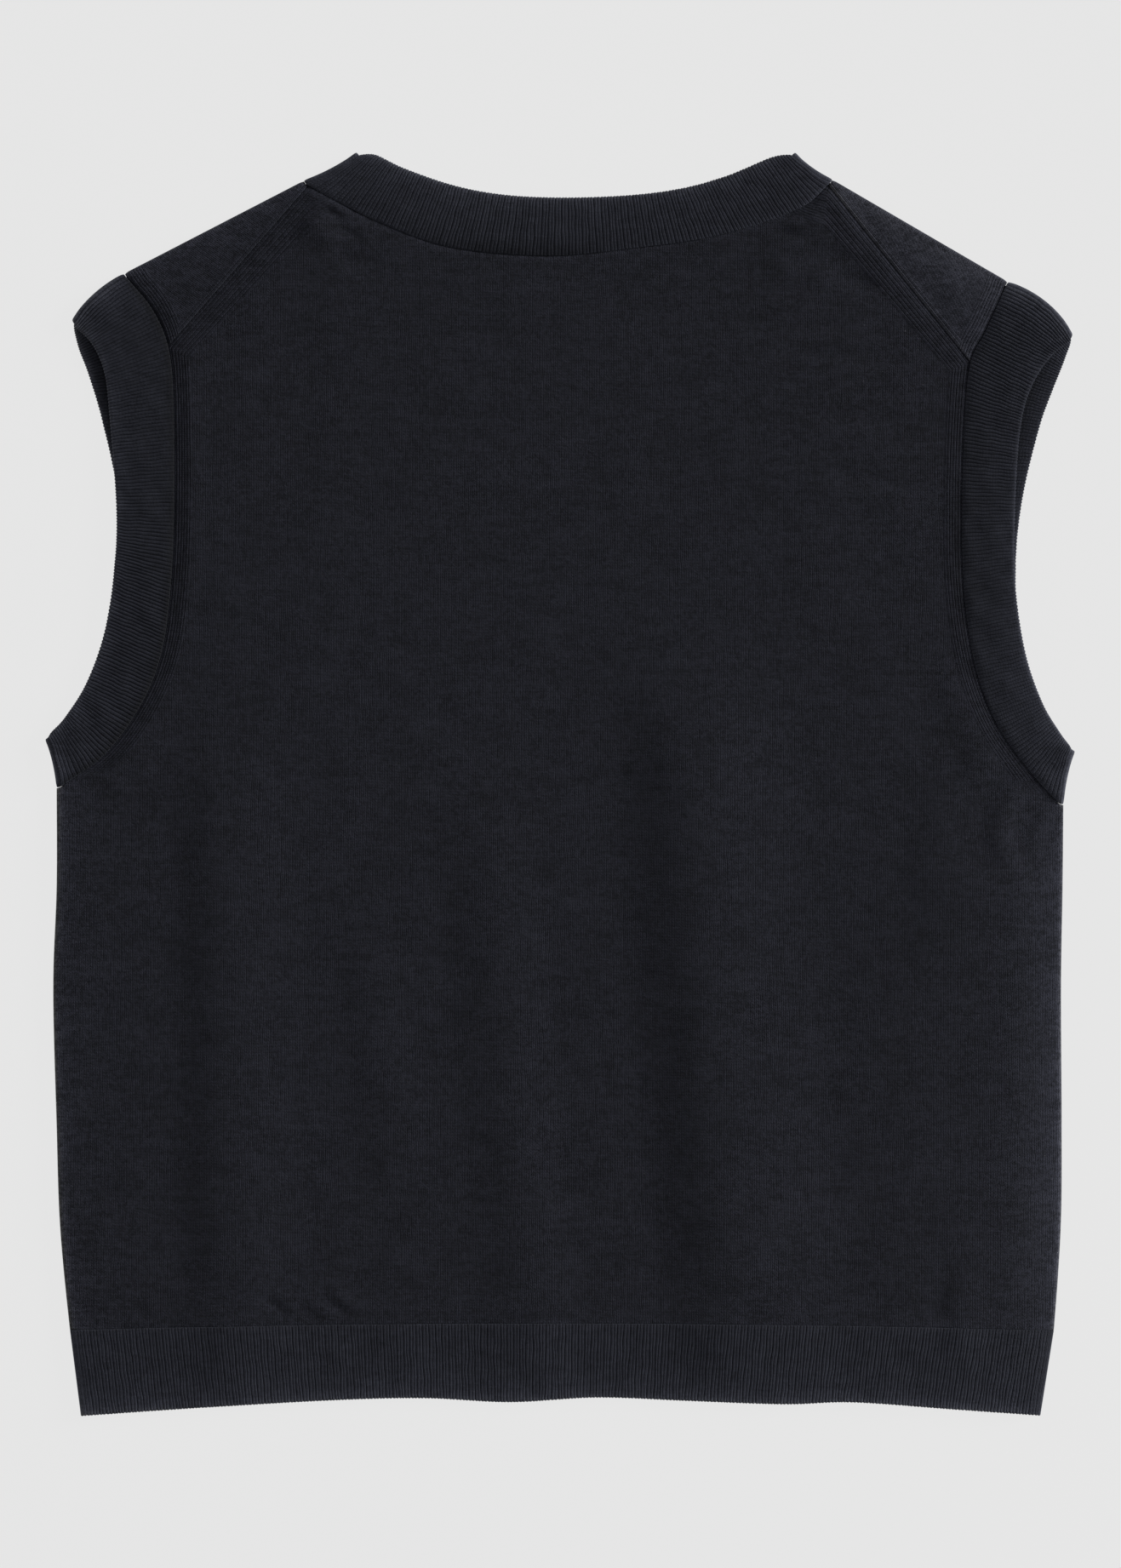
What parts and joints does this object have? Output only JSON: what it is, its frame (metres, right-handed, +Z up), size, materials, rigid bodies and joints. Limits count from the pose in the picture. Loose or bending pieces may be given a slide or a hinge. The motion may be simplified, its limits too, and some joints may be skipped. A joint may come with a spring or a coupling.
{
  "type": "knitted sweater vest",
  "caption": "Fine-gauge knitted sweater vest lying flat with its back up: plain jersey front and back, ribbed neck and armhole bands, and a deep ribbed hem.",
  "frame": {"origin": "centre of the bounding box on the ground, under the middle of the garment", "axes": "+Z up out of the surface that the garment lies on, +Y towards the neck, +X towards the wearer's right; the front faces down and the back faces up"},
  "size_m": [0.4512, 0.5534, 0.0086],
  "materials": {
    "jersey": "matte",
    "rib": "matte"
  },
  "bodies": {
    "root": {"front_panel": "jersey", "back_panel": "jersey", "neck_band": "rib", "left_armhole_band": "rib", "right_armhole_band": "rib", "back_hem_rib": "rib", "front_hem_rib": "rib"}
  },
  "joints": []
}
